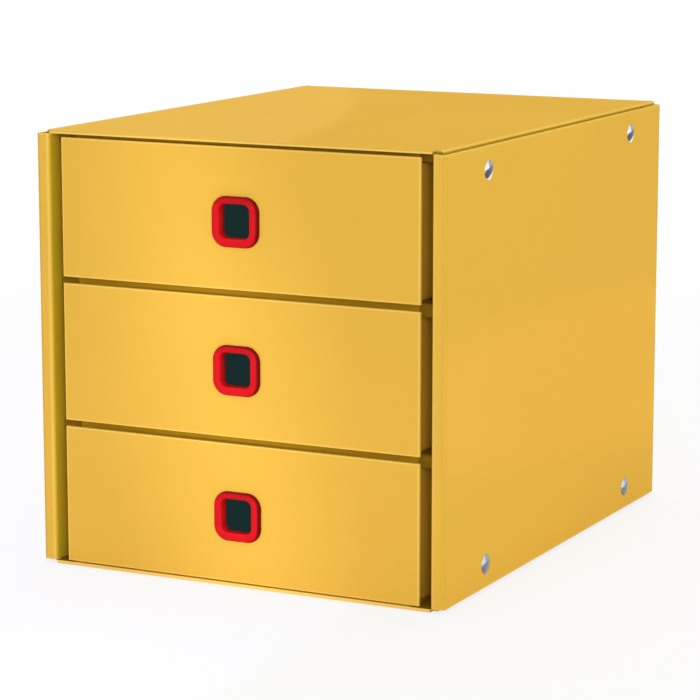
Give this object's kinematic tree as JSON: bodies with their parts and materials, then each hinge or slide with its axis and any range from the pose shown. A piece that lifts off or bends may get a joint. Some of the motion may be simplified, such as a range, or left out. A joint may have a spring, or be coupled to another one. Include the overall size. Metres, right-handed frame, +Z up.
{
  "type": "desktop drawer unit",
  "caption": "Desktop drawer unit of folded laminated board, with hollow side walls, press studs and full-width drawers pulled by round-cornered finger rings.",
  "frame": {"origin": "on the ground, under the middle of the whole unit", "axes": "+Z up; the drawers' fronts face -Y and the drawers pull out along -Y; +X is to the right for someone facing the drawers"},
  "size_m": [0.2886, 0.359, 0.282],
  "materials": {
    "carcass_board": "satin laminate",
    "front_board": "satin laminate",
    "tray_board": "satin laminate, dark lining inside",
    "ring_plastic": "gloss",
    "retainer_plastic": "matte",
    "stud_metal": "nickel-plated"
  },
  "bodies": {
    "carcass": {"carcass_wrap": "carcass_board", "top_rail": "carcass_board", "right_side_panel": "carcass_board", "left_side_panel": "carcass_board", "shelf_over_lower_drawer": "carcass_board", "shelf_over_middle_drawer": "carcass_board", "right_stud_caps": "stud_metal", "right_stud_sockets": "stud_metal", "right_stud_posts": "stud_metal", "left_stud_caps": "stud_metal", "left_stud_sockets": "stud_metal", "left_stud_posts": "stud_metal"},
    "lower_drawer": {"lower_drawer_tray": "tray_board", "lower_drawer_front": "front_board", "lower_pull_ring": "ring_plastic", "lower_ring_retainer": "retainer_plastic"},
    "middle_drawer": {"middle_drawer_tray": "tray_board", "middle_drawer_front": "front_board", "middle_pull_ring": "ring_plastic", "middle_ring_retainer": "retainer_plastic"},
    "upper_drawer": {"upper_drawer_tray": "tray_board", "upper_drawer_front": "front_board", "upper_pull_ring": "ring_plastic", "upper_ring_retainer": "retainer_plastic"}
  },
  "joints": [
    {"name": "lower_drawer_slide", "type": "slide", "parent": "carcass", "child": "lower_drawer", "axis": [0, -1, 0], "range_m": [0, 0.3]},
    {"name": "middle_drawer_slide", "type": "slide", "parent": "carcass", "child": "middle_drawer", "axis": [0, -1, 0], "range_m": [0, 0.3]},
    {"name": "upper_drawer_slide", "type": "slide", "parent": "carcass", "child": "upper_drawer", "axis": [0, -1, 0], "range_m": [0, 0.3]}
  ]
}
